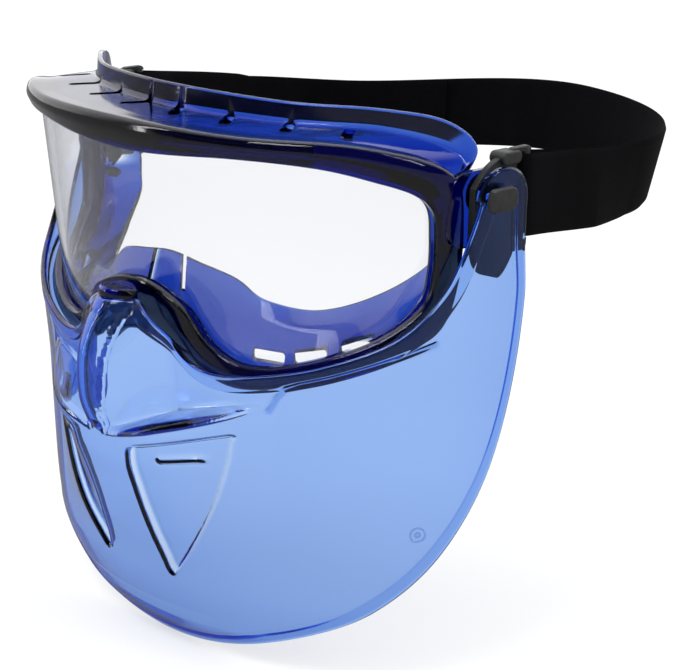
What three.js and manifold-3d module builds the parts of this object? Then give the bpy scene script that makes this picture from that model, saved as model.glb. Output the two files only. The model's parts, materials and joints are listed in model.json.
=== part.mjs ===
// Splash goggle with a flip-up lower face shield and an elastic headband.
// Millimetres, +Z up, wearer looks along -Y, +X is the wearer's left.
// Everything is drawn about the hinge line of the shield, and the finished group is
// lifted so that its lowest point stands on z = 0.
import * as THREE from "three";
import { mergeVertices } from "three/addons/utils/BufferGeometryUtils.js";
import Module from "manifold-3d";

const wasm = await Module();
wasm.setup();

// ---------------------------------------------------------------- driving dimensions
// Goggle: plan half-axes of the rim at RIM_TOP_Z, and how much they shrink per mm below it.
const RIM_HALF_WIDTH = 88;
const RIM_FORWARD = 72;
const RIM_TOP_Z = 19;
const RIM_PLAN_POWER = 2.2;
const RIM_WIDTH_TAPER = 0.0006;
const RIM_FORWARD_TAPER = 0.0023;
const RIM_BULGE = 0.9;
const RIM_DEPTH = 7.6;
const RIM_STATIONS = 84;
const WALL = 2.2;
const FLANGE_THICKNESS = 1.8;
const BAFFLE = { halfAngle: 46, z: 12.4, thickness: 1.4, insetFrom: 9, insetTo: 17 };
// Vent slots run aslant across the ledge above the lens, on the plan curve y = front + bow * x * x,
// and lie in a row low in the wall beside each cheek.
const LEDGE_VENTS = {
  slots: [9, 27.5, 46, 62], size: [3.5, 10.5, 12], front: -54, bow: 0.00507, z: 20, turn: 0.62,
};
const CHEEK_VENT = { width: 10.4, height: 3.4, depth: 8.6, turn: 0.57 };
const CHEEK_VENT_SPOTS = [
  { centre: [41.5, -44, -51.7], rise: 0 },
  { centre: [52.5, -37, -50.2], rise: 0.2 },
  { centre: [64, -29.5, -46.4], rise: 0.34 },
];
// Slits beside the nose flap of the face flange.
const NOSE_SLIT = { size: [1.5, 24, 20], centre: [5.3, -45, -27.5], turn: 0.65 };

const LENS_THICKNESS = 2;
const LENS_SEAT_DEPTH = 3.0;
const LENS_SEAT_WIDTH = 2.8;
const LENS_EDGE_IN_SEAT = 1.8;
const SEAT_HEIGHT = 2.2;
const GAP = 0.3;
const OVERCUT = 1;

// Shield: the plan at each height is half an ellipse that opens backwards at SHIELD_BACK_Y.
const SHIELD_BACK_Y = 10;
const SHIELD_THICKNESS = 1.6;
const SHIELD_BOTTOM_Z = -155.5;
const SHIELD_HALF_WIDTH = [
  [-155, 70], [-130, 92.5], [-110, 96], [-80, 97.3], [-30, 96.6], [-12, 94.7], [12, 94.4],
];
const SHIELD_FORWARD = [[-156, 45], [-145, 54], [-130, 58], [-110, 59], [-80, 61], [-40, 67], [10, 67.5]];
const MUZZLE_HEIGHT = [[-141, 0], [-127, 2], [-112, 7], [-97, 12], [-86, 15.5], [-76, 16.5]];
const MUZZLE_HALF_ANGLE = 34;
const MUZZLE_FLANK = 26;
const MUZZLE_LEDGE = 11;
// Nose ridge: a broad ridge above the muzzle with a half tube along its crest.
const RIDGE_HEIGHT = [[-78, 14.5], [-70, 16], [-62, 14.9], [-54, 12.6], [-46, 7.9], [-37, 0]];
const RIDGE_FLANK = 15;
const TUBE_RADIUS = [[-78, 3], [-74, 3.2], [-66, 4.2], [-50, 5.3], [-38, 6.8]];
const TUBE_FOOT_Z = -80;
const EAR_RADIUS = 9.7;

// Hinge stack, measured along X from the middle of the face.
const WING = { from: 84.2, to: 86.6 };
const CLIP = { from: 86.9, to: 89.2 };
const PIN_HEAD = { from: 95.2, to: 97.9 };
const RETAINER = { from: 82.2, to: 83.9 };
const PIN_RADIUS = 2.9;
const PIN_HOLE_RADIUS = 3.2;
const PIN_TIP_X = 81.6;
const RETAINER_RADIUS = 6;

// Headband: 25.4 mm (1 in) elastic webbing, straight beside the head and round behind it.
const STRAP_WIDTH = 25.4;
const STRAP_THICKNESS = 1.6;
const STRAP_HALF_WIDTH = 90.6;
const STRAP_STRAIGHT_END_Y = 72;
const STRAP_BACK_DEPTH = 58;
const STRAP_SIDE_Z = -1.3;
// Height of the webbing's middle against its place round the head: 0 at the left clip's bar,
// 1 and 2 where the curve behind the head starts and ends, 3 at the right clip's bar.
const STRAP_HEIGHT = [
  [0, STRAP_SIDE_Z], [0.9, -4.5], [1.4, -1.6], [1.8, -11.5], [2.1, -7.5], [3, STRAP_SIDE_Z],
];
const STRAP_LEAN = [[0.6, 0], [1.1, 5], [1.6, 0]];
const STRAP_BAR_Y = 15;
const STRAP_BAR_RADIUS = 1.7;
const STRAP_LAYER_GAP = 0.4;

const radians = THREE.MathUtils.degToRad;
const clamp01 = (t) => THREE.MathUtils.clamp(t, 0, 1);
const smoothStep = (t) => THREE.MathUtils.smoothstep(t, 0, 1);
const signedPower = (v, p) => Math.sign(v) * Math.abs(v) ** p;

// ---------------------------------------------------------------- general helpers
// Value at x of a smooth curve through [x, y] points that never overshoots them.
function valueAt(x, points) {
  const last = points.length - 1;
  if (x <= points[0][0]) return points[0][1];
  if (x >= points[last][0]) return points[last][1];
  const rise = (i) => (points[i + 1][1] - points[i][1]) / (points[i + 1][0] - points[i][0]);
  const slope = (i) => {
    if (i === 0) return rise(0);
    if (i === last) return rise(last - 1);
    const before = rise(i - 1);
    const after = rise(i);
    return before * after <= 0 ? 0 : (2 * before * after) / (before + after);
  };
  const i = points.findIndex((p) => p[0] > x) - 1;
  const h = points[i + 1][0] - points[i][0];
  const t = (x - points[i][0]) / h;
  const u = 1 - t;
  return (
    points[i][1] * (1 + 2 * t) * u * u +
    slope(i) * h * t * u * u +
    points[i + 1][1] * t * t * (3 - 2 * t) -
    slope(i + 1) * h * t * t * u
  );
}

// One closed solid from vertices and triangles; doubled vertices and empty triangles go.
function solidFrom(vertices, triangles) {
  const geometry = new THREE.BufferGeometry();
  const flat = vertices.flatMap((v) => [v.x, v.y, v.z]);
  geometry.setAttribute("position", new THREE.Float32BufferAttribute(flat, 3));
  geometry.setIndex(triangles.flat());
  return manifoldOf(geometry);
}

function manifoldOf(geometry) {
  const bare = new THREE.BufferGeometry();
  bare.setAttribute("position", geometry.getAttribute("position"));
  bare.setIndex(geometry.index);
  const merged = mergeVertices(bare, 1e-3);
  const index = Array.from(merged.index.array);
  const kept = [];
  for (let i = 0; i < index.length; i += 3) {
    const [a, b, c] = index.slice(i, i + 3);
    if (a !== b && b !== c && c !== a) kept.push(a, b, c);
  }
  const mesh = new wasm.Mesh({
    numProp: 3,
    vertProperties: merged.getAttribute("position").array,
    triVerts: new Uint32Array(kept),
  });
  const solid = new wasm.Manifold(mesh);
  if (solid.volume() >= 0) return solid;
  for (let i = 0; i < kept.length; i += 3) [kept[i + 1], kept[i + 2]] = [kept[i + 2], kept[i + 1]];
  return new wasm.Manifold(
    new wasm.Mesh({ numProp: 3, vertProperties: mesh.vertProperties, triVerts: new Uint32Array(kept) }),
  );
}

function geometryOf(solid) {
  const mesh = solid.getMesh();
  const geometry = new THREE.BufferGeometry();
  geometry.setAttribute("position", new THREE.Float32BufferAttribute(mesh.vertProperties, 3));
  geometry.setIndex(Array.from(mesh.triVerts));
  geometry.computeVertexNormals();
  return geometry;
}

// Solid swept through cross-sections, each a ring of the same number of points.
function sweep(rings, closed) {
  const size = rings[0].length;
  const triangles = [];
  const steps = closed ? rings.length : rings.length - 1;
  for (let i = 0; i < steps; i += 1) {
    const here = i * size;
    const next = ((i + 1) % rings.length) * size;
    for (let j = 0; j < size; j += 1) {
      const k = (j + 1) % size;
      triangles.push([here + j, next + j, next + k], [here + j, next + k, here + k]);
    }
  }
  if (!closed) {
    const end = (rings.length - 1) * size;
    for (let j = 1; j < size - 1; j += 1) {
      triangles.push([0, j, j + 1], [end, end + j + 1, end + j]);
    }
  }
  return solidFrom(rings.flat(), triangles);
}

// Thin solid between two grids of points that share their outline.
function skinBetween(outer, inner) {
  const columns = outer.length;
  const rows = outer[0].length;
  const at = (i, j, side) => side * columns * rows + i * rows + j;
  const triangles = [];
  const quad = (a, b, c, d) => triangles.push([a, b, c], [a, c, d]);
  for (let i = 0; i < columns - 1; i += 1) {
    for (let j = 0; j < rows - 1; j += 1) {
      quad(at(i, j, 0), at(i + 1, j, 0), at(i + 1, j + 1, 0), at(i, j + 1, 0));
      quad(at(i, j, 1), at(i, j + 1, 1), at(i + 1, j + 1, 1), at(i + 1, j, 1));
    }
    quad(at(i, 0, 1), at(i + 1, 0, 1), at(i + 1, 0, 0), at(i, 0, 0));
    quad(at(i, rows - 1, 0), at(i + 1, rows - 1, 0), at(i + 1, rows - 1, 1), at(i, rows - 1, 1));
  }
  return solidFrom([...outer.flat(), ...inner.flat()], triangles);
}

const along = (count, make) => Array.from({ length: count + 1 }, (_, i) => make(i / count));

// Mirror image of a solid on the wearer's other side.
const mirrored = (solid) => solid.mirror([1, 0, 0]);

// Plate lying across X between two X values, from an outline of [y, z] drawn as a Shape.
function plateAcrossX(shape, from, to) {
  const options = { depth: to - from, bevelEnabled: false, curveSegments: 5 };
  const geometry = new THREE.ExtrudeGeometry(shape, options);
  geometry.applyMatrix4(new THREE.Matrix4().set(0, 0, 1, from, 1, 0, 0, 0, 0, 1, 0, 0, 0, 0, 0, 1));
  return manifoldOf(geometry);
}

function roundedOutline(yMin, yMax, zMin, zMax, radius) {
  const shape = new THREE.Shape();
  shape.moveTo(yMin + radius, zMin);
  shape.lineTo(yMax - radius, zMin);
  shape.absarc(yMax - radius, zMin + radius, radius, -Math.PI / 2, 0);
  shape.lineTo(yMax, zMax - radius);
  shape.absarc(yMax - radius, zMax - radius, radius, 0, Math.PI / 2);
  shape.lineTo(yMin + radius, zMax);
  shape.absarc(yMin + radius, zMax - radius, radius, Math.PI / 2, Math.PI);
  shape.lineTo(yMin, zMin + radius);
  shape.absarc(yMin + radius, zMin + radius, radius, Math.PI, Math.PI * 1.5);
  return shape;
}

// Round bar along X, centred on the hinge line unless another y, z is given.
function barAlongX(radius, from, to, y = 0, z = 0) {
  const geometry = new THREE.CylinderGeometry(radius, radius, to - from, 24);
  geometry.rotateZ(Math.PI / 2);
  geometry.translate((from + to) / 2, y, z);
  return manifoldOf(geometry);
}

function roundedBox(size, centre, turnZ = 0, radius = Math.min(...size) * 0.3) {
  const [x, y, z] = size;
  const shape = roundedOutline(-x / 2, x / 2, -y / 2, y / 2, radius);
  const geometry = new THREE.ExtrudeGeometry(shape, { depth: z, bevelEnabled: false, curveSegments: 4 });
  geometry.translate(0, 0, -z / 2);
  geometry.rotateZ(turnZ);
  geometry.translate(...centre);
  return manifoldOf(geometry);
}

// ---------------------------------------------------------------- goggle frame and lens
// Point on the front of the goggle at an angle from straight ahead; inset goes towards the face.
function gogglePoint(degrees, z, inset = 0) {
  const below = RIM_TOP_Z - z;
  const halfWidth = RIM_HALF_WIDTH * (1 - RIM_WIDTH_TAPER * below) - inset;
  const forward = RIM_FORWARD * (1 - RIM_FORWARD_TAPER * below) - inset;
  const power = 2 / RIM_PLAN_POWER;
  const x = halfWidth * signedPower(Math.sin(radians(degrees)), power);
  const y = -forward * signedPower(Math.cos(radians(degrees)), power);
  return new THREE.Vector3(x, y, z);
}

// Stations round the left half of the frame, from above the nose to under it.
// rim and opening are [angle, z] on the front; wall and lip are where the wall meets the
// face flange and where the flange ends.
const FRAME_STATIONS = [
  { rim: [0, 18.8], opening: [0, 8.6], wall: [0, -50, 19.5], lip: [0, -49.5, 26.5] },
  { rim: [27, 18.2], opening: [27, 11.2], wall: [40, -40.5, 19], lip: [40, -40, 25.5] },
  { rim: [50, 18], opening: [46, 10.4], wall: [63, -24, 18.6], lip: [64, -23, 24.8] },
  { rim: [66, 15], opening: [60, 6.5], wall: [76, -10.8, 15], lip: [77.5, -9.2, 21.8] },
  { rim: [77, 10.5], opening: [70, 2.2], wall: [82.8, -5.5, 9.8], lip: [84, -2, 14] },
  { rim: [82.5, 4], opening: [75.3, -3.5], wall: [83.2, -8.5, 2], lip: [79.5, -3, 2.5] },
  { rim: [84, -9], opening: [76.5, -12], wall: [82.6, -8.5, -10], lip: [71, 1, -10] },
  { rim: [83.5, -24], opening: [76.5, -22.5], wall: [79, -7, -22.5], lip: [68.5, 0.5, -21] },
  { rim: [79, -40], opening: [74, -32], wall: [71.5, -9, -32], lip: [66, -2, -27] },
  { rim: [65, -48], opening: [62, -41.5], wall: [61, -20, -40.5], lip: [58, -13.7, -34.7] },
  { rim: [42, -56.5], opening: [41, -50.5], wall: [50, -34, -44], lip: [46.6, -28, -39.8] },
  { rim: [26, -61], opening: [27, -53.6], wall: [37, -40.5, -43.6], lip: [34, -37.5, -37] },
  { rim: [16.5, -58.5], opening: [18, -49], wall: [24.8, -44, -43.7], lip: [25, -41.5, -31] },
  { rim: [9, -53.5], opening: [11, -38], wall: [11.5, -46.5, -43], lip: [12, -44.5, -28] },
  { rim: [0, -50], opening: [0, -32.3], wall: [0, -47, -41], lip: [0, -45, -26.5] },
];

// Closed smooth curve through one property of the stations, both halves of the frame.
function stationCurve(property) {
  const left = FRAME_STATIONS.map((station) => station[property]);
  const right = left.slice(1, -1).reverse().map(([first, ...rest]) => [-first, ...rest]);
  const points = [...left, ...right].map(([a, b, c = 0]) => new THREE.Vector3(a, b, c));
  return new THREE.CatmullRomCurve3(points, true, "catmullrom", 0.5);
}

const RIM_CURVE = stationCurve("rim");
const OPENING_CURVE = stationCurve("opening");
const WALL_CURVE = stationCurve("wall");
const LIP_CURVE = stationCurve("lip");

function rimWidthAt(t) {
  const opening = OPENING_CURVE.getPoint(t);
  const rim = RIM_CURVE.getPoint(t);
  return gogglePoint(opening.x, opening.y).distanceTo(gogglePoint(rim.x, rim.y));
}

// [angle, z] a given distance from the opening towards the outside of the rim.
function spotOnRim(t, distance) {
  return OPENING_CURVE.getPoint(t).lerp(RIM_CURVE.getPoint(t), distance / rimWidthAt(t));
}

function seatPoint(t, distance, inset) {
  const spot = spotOnRim(t, distance);
  return gogglePoint(spot.x, spot.y, inset);
}

// Depth of the rim's rear corner: greater under the cheeks, where the wall rises behind it.
const rimRearInset = (rim) =>
  RIM_DEPTH * 0.7 + 3 * smoothStep((72 - Math.abs(rim.x)) / 15) * smoothStep(-rim.y / 30);

// How much higher the wall starts behind the lens along the lower half of the opening.
const cheekRise = (opening) => 2.4 * smoothStep(-opening.y / 25);

function frameSection(t) {
  const step = 0.25 / RIM_STATIONS;
  const rim = RIM_CURVE.getPoint(t);
  const opening = OPENING_CURVE.getPoint(t);
  const middle = rim.clone().lerp(opening, 0.45);
  const wall = WALL_CURVE.getPoint(t);
  const lip = LIP_CURVE.getPoint(t);
  const rimRear = gogglePoint(rim.x, rim.y, rimRearInset(rim));

  const before = WALL_CURVE.getPoint((t - step + 1) % 1);
  const travel = WALL_CURVE.getPoint((t + step) % 1).sub(before).normalize();
  const forward = rimRear.clone().sub(wall).normalize();
  const outward = forward.clone().cross(travel).normalize();
  const flangeSide = lip.clone().sub(wall).normalize().cross(travel).normalize();

  const inner = wall.clone().addScaledVector(outward, -WALL);
  inner.addScaledVector(forward, FLANGE_THICKNESS * flangeSide.dot(forward));
  return [
    gogglePoint(rim.x, rim.y, 1.2),
    gogglePoint(rim.x, rim.y - 0.12 * (rim.y - opening.y), 0),
    gogglePoint(middle.x, middle.y, -RIM_BULGE),
    gogglePoint(opening.x, opening.y, 0.6),
    gogglePoint(opening.x, opening.y, LENS_SEAT_DEPTH),
    seatPoint(t, SEAT_HEIGHT, LENS_SEAT_DEPTH),
    seatPoint(t, SEAT_HEIGHT, LENS_SEAT_DEPTH + LENS_SEAT_WIDTH),
    seatPoint(t, 0.3, LENS_SEAT_DEPTH + LENS_SEAT_WIDTH),
    seatPoint(t, 0.9, RIM_DEPTH),
    seatPoint(t, rimWidthAt(t) - WALL - cheekRise(opening), RIM_DEPTH + 0.3),
    inner,
    lip.clone().addScaledVector(flangeSide, FLANGE_THICKNESS),
    lip,
    wall,
    rimRear,
  ];
}

// Cutters of the upright slots that run aslant across the ledge of the left half.
function ledgeVents({ slots, size, front, bow, z, turn }) {
  return slots.map((x) => roundedBox(size, [x, front + bow * x * x, z], turn, size[0] * 0.48));
}

// Level slots through the wall beside the left cheek, rising with the lower edge of the rim.
function cheekVents({ width, height, depth, turn }) {
  return CHEEK_VENT_SPOTS.map(({ centre, rise }) => {
    const shape = roundedOutline(-width / 2, width / 2, -height / 2, height / 2, height * 0.3);
    const geometry = new THREE.ExtrudeGeometry(shape, { depth, bevelEnabled: false, curveSegments: 4 });
    geometry.translate(0, 0, -depth / 2);
    geometry.rotateZ(rise);
    geometry.rotateX(Math.PI / 2);
    geometry.rotateZ(turn);
    geometry.translate(...centre);
    return manifoldOf(geometry);
  });
}

function noseSlit({ size, centre, turn }) {
  return roundedBox(size, centre, turn);
}

// Tab that carries the hinge pin, behind the temple end of the frame.
function frameWing() {
  const tab = plateAcrossX(roundedOutline(-16, 7.5, -15, 8, 6), WING.from, WING.to);
  return tab.subtract(barAlongX(PIN_HOLE_RADIUS, WING.from - OVERCUT, WING.to + OVERCUT));
}

function goggleFrame() {
  const rings = along(RIM_STATIONS - 1, (s) => frameSection((s * (RIM_STATIONS - 1)) / RIM_STATIONS));
  let frame = sweep(rings, true);
  for (const cutter of [...ledgeVents(LEDGE_VENTS), ...cheekVents(CHEEK_VENT), noseSlit(NOSE_SLIT)]) {
    frame = frame.subtract(cutter).subtract(mirrored(cutter));
  }
  const wing = frameWing();
  return frame.add(wing).add(mirrored(wing));
}

// Lens: the plan surface between the upper and lower halves of the seat.
function lens() {
  const columns = 48;
  const rows = 6;
  const inset = LENS_SEAT_DEPTH + (LENS_SEAT_WIDTH - LENS_THICKNESS) / 2;
  // The side stations lie at a quarter of the loop: 7 of the 28 stations.
  const sideAt = 7 / (2 * (FRAME_STATIONS.length - 1));
  const grid = (depth) =>
    along(columns, (s) => {
      const upper = spotOnRim((1 - sideAt + 2 * sideAt * s) % 1, LENS_EDGE_IN_SEAT);
      const lower = spotOnRim(1 - sideAt - (1 - 2 * sideAt) * s, LENS_EDGE_IN_SEAT);
      return along(rows, (v) => {
        const spot = upper.clone().lerp(lower, v);
        return gogglePoint(spot.x, spot.y, depth);
      });
    });
  return skinBetween(grid(inset), grid(inset + LENS_THICKNESS));
}

// Level strip under the ledge vents that stops splashes coming straight through.
function upperVentBaffle() {
  const rings = along(24, (s) => {
    const angle = BAFFLE.halfAngle * (2 * s - 1);
    return [
      gogglePoint(angle, BAFFLE.z, BAFFLE.insetFrom),
      gogglePoint(angle, BAFFLE.z, BAFFLE.insetTo),
      gogglePoint(angle, BAFFLE.z + BAFFLE.thickness, BAFFLE.insetTo),
      gogglePoint(angle, BAFFLE.z + BAFFLE.thickness, BAFFLE.insetFrom),
    ];
  });
  return sweep(rings, false);
}

// ---------------------------------------------------------------- face shield
function shieldPoint(degrees, z) {
  const aside = Math.abs(degrees);
  const x = valueAt(z, SHIELD_HALF_WIDTH) * Math.sin(radians(degrees));
  const muzzle = valueAt(z, MUZZLE_HEIGHT) * smoothStep((MUZZLE_HALF_ANGLE - aside) / MUZZLE_FLANK);
  const radius = valueAt(z, TUBE_RADIUS);
  const ridge = valueAt(z, RIDGE_HEIGHT) * smoothStep(1 - (Math.abs(x) - radius) / RIDGE_FLANK);
  const tube = Math.sqrt(Math.max(radius ** 2 - x ** 2, 0)) * smoothStep((z - TUBE_FOOT_Z) / 5);
  const muzzleTop = -76 + 0.5 * Math.max(aside - 2, 0);
  const belowLedge = smoothStep((muzzleTop - z) / MUZZLE_LEDGE);
  const forward = valueAt(z, SHIELD_FORWARD) + ridge + (muzzle - ridge) * belowLedge + tube;
  const y = SHIELD_BACK_Y - (SHIELD_BACK_Y + forward) * Math.cos(radians(degrees));
  return new THREE.Vector3(x, y, z);
}

function shieldInnerPoint(degrees, z) {
  const d = 0.4;
  const across = shieldPoint(degrees + d, z).sub(shieldPoint(degrees - d, z));
  const up = shieldPoint(degrees, z + d).sub(shieldPoint(degrees, z - d));
  const inward = up.cross(across).normalize();
  return shieldPoint(degrees, z).addScaledVector(inward, SHIELD_THICKNESS);
}

// Angle on the shield of a y value near the ears, where the shield runs front to back.
const angleOfY = (y) =>
  THREE.MathUtils.radToDeg(Math.acos((SHIELD_BACK_Y - y) / (SHIELD_BACK_Y + SHIELD_FORWARD.at(-1)[1])));

// Upper edge of the left half as [angle, z], from the nose to the front of the ear.
const SHIELD_TOP_EDGE = [
  [0, -37], [5, -37.5], [11, -46], [14.5, -52.3], [17.5, -55.2], [22, -56.2], [31, -54],
  [42, -49.6], [58, -39.7], [66.5, -28.3], [71.5, -18], [75, -6.5], [76.5, 0],
];
const EAR_SHARE = 0.12;
const ANGLE_STRETCH = 1.4;

// The same edge as a curve, with a degree drawn about as long as it is on the shield.
const SHIELD_TOP_CURVE = new THREE.CatmullRomCurve3(
  SHIELD_TOP_EDGE.map(([degrees, z]) => new THREE.Vector3(degrees * ANGLE_STRETCH, z, 0)),
  false,
  "centripetal",
);

function shieldTopEdge(s) {
  const body = 1 - EAR_SHARE;
  if (s <= body) {
    const spot = SHIELD_TOP_CURVE.getPointAt(s / body);
    return [spot.x / ANGLE_STRETCH, spot.y];
  }
  const turn = Math.PI - (((s - body) / EAR_SHARE) * Math.PI) / 2;
  return [angleOfY(EAR_RADIUS * Math.cos(turn)), EAR_RADIUS * Math.sin(turn)];
}

// Free edge of the left half as [angle, z], from under the chin to the back of the ear.
// The chin part is a quarter of a superellipse with these two powers.
const CHIN_ANGLE_POWER = 0.98;
const CHIN_HEIGHT_POWER = 0.82;

function shieldFreeEdge(s) {
  const body = 1 - EAR_SHARE;
  if (s <= body) {
    const turn = ((s / body) * Math.PI) / 2;
    const degrees = angleOfY(EAR_RADIUS) * Math.sin(turn) ** CHIN_ANGLE_POWER;
    return [degrees, SHIELD_BOTTOM_Z * Math.cos(turn) ** CHIN_HEIGHT_POWER];
  }
  const turn = (((s - body) / EAR_SHARE) * Math.PI) / 2;
  return [angleOfY(EAR_RADIUS * Math.cos(turn)), EAR_RADIUS * Math.sin(turn)];
}

// Key-shaped opening in the ear: round for the pin, with a slot the T-head drops through.
function keyholeCutter() {
  const round = barAlongX(PIN_HOLE_RADIUS, CLIP.to, PIN_HEAD.from + OVERCUT);
  const slot = plateAcrossX(roundedOutline(-6.2, 0, -2.4, 2.4, 1), CLIP.to, PIN_HEAD.from + OVERCUT);
  return round.add(slot);
}

function faceShield() {
  const halfColumns = 36;
  const rows = 34;
  const grid = (pointAt) =>
    along(2 * halfColumns, (u) => {
      const even = Math.abs(2 * u - 1);
      const s = even * (0.45 + 0.55 * even * even);
      const side = u < 0.5 ? -1 : 1;
      const [topAngle, topZ] = shieldTopEdge(s);
      const [freeAngle, freeZ] = shieldFreeEdge(s);
      return along(rows, (v) =>
        pointAt(side * (topAngle + (freeAngle - topAngle) * v), topZ + (freeZ - topZ) * v),
      );
    });
  const shell = skinBetween(grid(shieldPoint), grid(shieldInnerPoint));
  const keyhole = keyholeCutter();
  return shell.subtract(keyhole).subtract(mirrored(keyhole));
}

// ---------------------------------------------------------------- hinge pins and retainers
// T-headed pin: shaft along the hinge line, bar-shaped head outside the shield's ear.
function pivotPin() {
  const head = plateAcrossX(roundedOutline(-10.4, 1.2, -2.6, 4.6, 2.2), PIN_HEAD.from, PIN_HEAD.to);
  const shaft = barAlongX(PIN_RADIUS, PIN_TIP_X, (PIN_HEAD.from + PIN_HEAD.to) / 2);
  return head.add(shaft);
}

function pivotRetainer() {
  const washer = barAlongX(RETAINER_RADIUS, RETAINER.from, RETAINER.to);
  return washer.subtract(barAlongX(PIN_RADIUS + GAP, RETAINER.from - OVERCUT, RETAINER.to + OVERCUT));
}

// ---------------------------------------------------------------- strap clip
// Plate between wing and ear, a thumb block on top and a slotted end for the webbing.
function strapClip() {
  const plateOutline = new THREE.Shape();
  plateOutline.moveTo(-8.5, 3);
  plateOutline.lineTo(-8.5, -12);
  plateOutline.quadraticCurveTo(-8.5, -21, -3, -23.5);
  plateOutline.lineTo(3.5, -25.5);
  plateOutline.quadraticCurveTo(6, -25.5, 10, -19);
  plateOutline.lineTo(10, 11.5);
  plateOutline.quadraticCurveTo(-1, 13, -8.5, 3);
  const plate = plateAcrossX(plateOutline, CLIP.from, CLIP.to);
  const block = plateAcrossX(roundedOutline(2.4, 11.4, 8.8, 12.8, 1.9), CLIP.from - 2.4, CLIP.to + 1.3);
  const rearFrame = plateAcrossX(roundedOutline(8, STRAP_BAR_Y + 2, -18.5, 13.4, 1.4), CLIP.from, CLIP.to);
  const slot = plateAcrossX(
    roundedOutline(10.4, STRAP_BAR_Y + 5, -15, 11.9, 1), CLIP.from - OVERCUT, CLIP.to + OVERCUT,
  );
  const bar = new THREE.CylinderGeometry(STRAP_BAR_RADIUS, STRAP_BAR_RADIUS, STRAP_WIDTH + 3, 16);
  bar.rotateX(Math.PI / 2);
  bar.translate((CLIP.from + CLIP.to) / 2, STRAP_BAR_Y, STRAP_SIDE_Z);
  return plate
    .add(block)
    .add(rearFrame)
    .subtract(slot)
    .add(manifoldOf(bar))
    .subtract(barAlongX(PIN_HOLE_RADIUS, CLIP.from - OVERCUT, CLIP.to + OVERCUT));
}

// ---------------------------------------------------------------- headband
const BAR_X = (CLIP.from + CLIP.to) / 2;
const WRAP_RADIUS = STRAP_BAR_RADIUS + STRAP_LAYER_GAP + STRAP_THICKNESS / 2;

// Outer layer behind the clips: straight beside the head, elliptical behind it.
function headbandSpot(turn) {
  const x = STRAP_HALF_WIDTH * Math.cos(turn);
  const y = STRAP_STRAIGHT_END_Y + STRAP_BACK_DEPTH * Math.sin(turn);
  return new THREE.Vector3(x, y, 0);
}

// Place of a spot round the head, on the scale of STRAP_HEIGHT.
function placeRoundHead(spot) {
  const behind = spot.y - STRAP_STRAIGHT_END_Y;
  if (behind > 0) return 1 + Math.atan2(behind / STRAP_BACK_DEPTH, spot.x / STRAP_HALF_WIDTH) / Math.PI;
  const beside = clamp01((spot.y - STRAP_BAR_Y) / (STRAP_STRAIGHT_END_Y - STRAP_BAR_Y));
  return spot.x > 0 ? beside : 3 - beside;
}

// Half turn round the clip's bar, from the outer layer to the inner layer.
function wrapSpots(side) {
  return along(8, (v) => {
    const turn = v * Math.PI;
    const x = BAR_X + WRAP_RADIUS * Math.cos(turn);
    return new THREE.Vector3(side * x, STRAP_BAR_Y - WRAP_RADIUS * Math.sin(turn), 0);
  });
}

function bandFrom(spots, width, thickness) {
  const rings = spots.map((spot, i) => {
    const before = spots[Math.max(i - 1, 0)];
    const after = spots[Math.min(i + 1, spots.length - 1)];
    const side = after.clone().sub(before).normalize().cross(new THREE.Vector3(0, 0, 1));
    const place = placeRoundHead(spot);
    const middle = spot.clone().setZ(valueAt(place, STRAP_HEIGHT));
    const up = new THREE.Vector3(0, 0, width / 2);
    const lean = valueAt(place, STRAP_LEAN);
    const corner = (across, above) => {
      const inwards = above < 0 ? lean : 0;
      const aside = (across * thickness) / 2 - inwards;
      return middle.clone().addScaledVector(side, aside).addScaledVector(up, above);
    };
    return [corner(-1, -1), corner(1, -1), corner(1, 1), corner(-1, 1)];
  });
  return sweep(rings, false);
}

// Inner, doubled layer from a bar back along the outer layer for a share of the back curve.
function innerLayer(side, endY, backTurn) {
  const inset = STRAP_HALF_WIDTH - BAR_X + WRAP_RADIUS;
  const beside = (y) => new THREE.Vector3(side * (STRAP_HALF_WIDTH - innerOffset(y, inset)), y, 0);
  const spots = [22, 26, 32, 38, endY].map(beside);
  const curved = backTurn > 0 ? along(14, (v) => headbandSpot(v * backTurn)).slice(1) : [];
  for (const spot of curved) {
    const shrink = 1 - innerOffset(spot.y, inset) / STRAP_HALF_WIDTH;
    const behind = (spot.y - STRAP_STRAIGHT_END_Y) * shrink;
    spots.push(new THREE.Vector3(side * spot.x * shrink, STRAP_STRAIGHT_END_Y + behind, 0));
  }
  return spots;
}

// The two layers close up behind the bar until only the gap between them is left.
function innerOffset(y, atBar) {
  const closed = STRAP_THICKNESS + STRAP_LAYER_GAP;
  return closed + (atBar - closed) * (1 - smoothStep((y - STRAP_BAR_Y) / 22));
}

function headband() {
  const outerStraight = (side) =>
    [60, 40, 26].map((y) => new THREE.Vector3(side * STRAP_HALF_WIDTH, y, 0));
  const sewnEnd = innerLayer(1, 48, 0);
  const freeTail = innerLayer(-1, STRAP_STRAIGHT_END_Y, radians(66));
  const back = along(48, (v) => headbandSpot(v * Math.PI));
  const spots = [
    ...sewnEnd.reverse(),
    ...wrapSpots(1).reverse(),
    ...outerStraight(1).reverse(),
    ...back,
    ...outerStraight(-1),
    ...wrapSpots(-1),
    ...freeTail,
  ];
  return bandFrom(spots, STRAP_WIDTH, STRAP_THICKNESS);
}

const materials = {
  vinyl: { color: 0x14148c, roughness: 0.22, metalness: 0 },
  lens: { color: 0xe8eef4, roughness: 0.05, metalness: 0, transparent: true, opacity: 0.3 },
  shield: { color: 0x5a8ce6, roughness: 0.1, metalness: 0, transparent: true, opacity: 0.55 },
  clip: { color: 0x262826, roughness: 0.6, metalness: 0 },
  webbing: { color: 0x0b0b0d, roughness: 0.95, metalness: 0 },
};

function piece(name, solid, look) {
  const mesh = new THREE.Mesh(geometryOf(solid), new THREE.MeshStandardMaterial(look));
  mesh.name = name;
  return mesh;
}

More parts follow.
